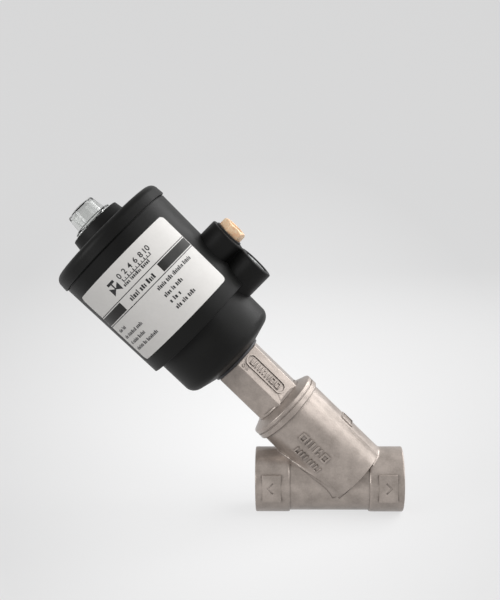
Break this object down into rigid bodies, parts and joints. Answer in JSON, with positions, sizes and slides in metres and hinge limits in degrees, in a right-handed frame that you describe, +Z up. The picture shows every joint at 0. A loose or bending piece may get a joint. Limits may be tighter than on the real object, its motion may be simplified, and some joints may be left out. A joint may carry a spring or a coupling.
{
  "type": "angle seat valve",
  "caption": "Angle seat valve with threaded ends and a spring-return piston actuator with a clear position dome.",
  "frame": {"origin": "centre of the inlet port's face", "axes": "+X out of the inlet along the pipe axis, +Z up, the branch leaning towards -X"},
  "size_m": [0.2192, 0.0876, 0.213],
  "materials": {
    "cast_stainless": "investment cast, bead blasted stainless",
    "machined_steel": "turned stainless",
    "spring_steel": "drawn spring wire",
    "black_plastic": "fine textured glass filled nylon",
    "piston_plastic": "moulded acetal",
    "clear_plastic": "clear polycarbonate",
    "bronze": "machined bronze",
    "sintered_bronze": "sintered bronze beads",
    "guide_bronze": "turned bronze",
    "insert_metal": "turned and tapped",
    "black_rubber": "moulded nitrile",
    "ptfe": "turned white fluoropolymer",
    "filled_ptfe": "bronze filled fluoropolymer",
    "graphite": "flat graphite sheet",
    "label_film": "pale metallised film",
    "bright_cap": "bright indicator cap"
  },
  "bodies": {
    "valve": {"valve_body": "cast_stainless", "bonnet": "cast_stainless", "bonnet_gasket": "graphite", "packing_washer": "machined_steel", "packing_spring": "spring_steel", "thrust_ring": "machined_steel", "packing_rings": "ptfe", "gland_nut": "machined_steel", "guide_bush": "guide_bronze", "stem_seal": "black_rubber", "neck_collar": "machined_steel", "housing_seal": "black_rubber", "thrust_washer": "machined_steel", "housing_nut": "machined_steel"},
    "actuator": {"actuator_housing": "black_plastic", "lower_port_insert": "insert_metal", "upper_port_insert": "insert_metal", "silencer_washer": "black_rubber", "silencer_body": "bronze", "silencer_element": "sintered_bronze", "lid": "black_plastic", "lid_seal": "black_rubber", "indicator_dome": "clear_plastic", "dome_seal": "black_rubber", "label": "label_film", "outer_spring": "spring_steel", "inner_spring": "spring_steel"},
    "stem": {"stem": "machined_steel", "valve_disc": "cast_stainless", "seat_seal": "ptfe", "disc_retainer": "machined_steel", "disc_nut": "machined_steel", "piston": "piston_plastic", "piston_seal": "black_rubber", "piston_guide_ring": "filled_ptfe", "piston_nut": "machined_steel", "indicator_rod": "machined_steel", "indicator_cap": "bright_cap"}
  },
  "joints": [
    {"name": "actuator_turn", "type": "hinge", "parent": "valve", "child": "actuator", "pos_m": [-0.0272, 0, 0], "axis": [-0.7071, 0, 0.7071], "continuous": true},
    {"name": "stem_lift", "type": "slide", "parent": "valve", "child": "stem", "axis": [-0.7071, 0, 0.7071], "range_m": [0, 0.01], "stiffness_N_per_m": 4000, "springref_m": -0.01, "deforming": ["outer_spring", "inner_spring"]}
  ]
}
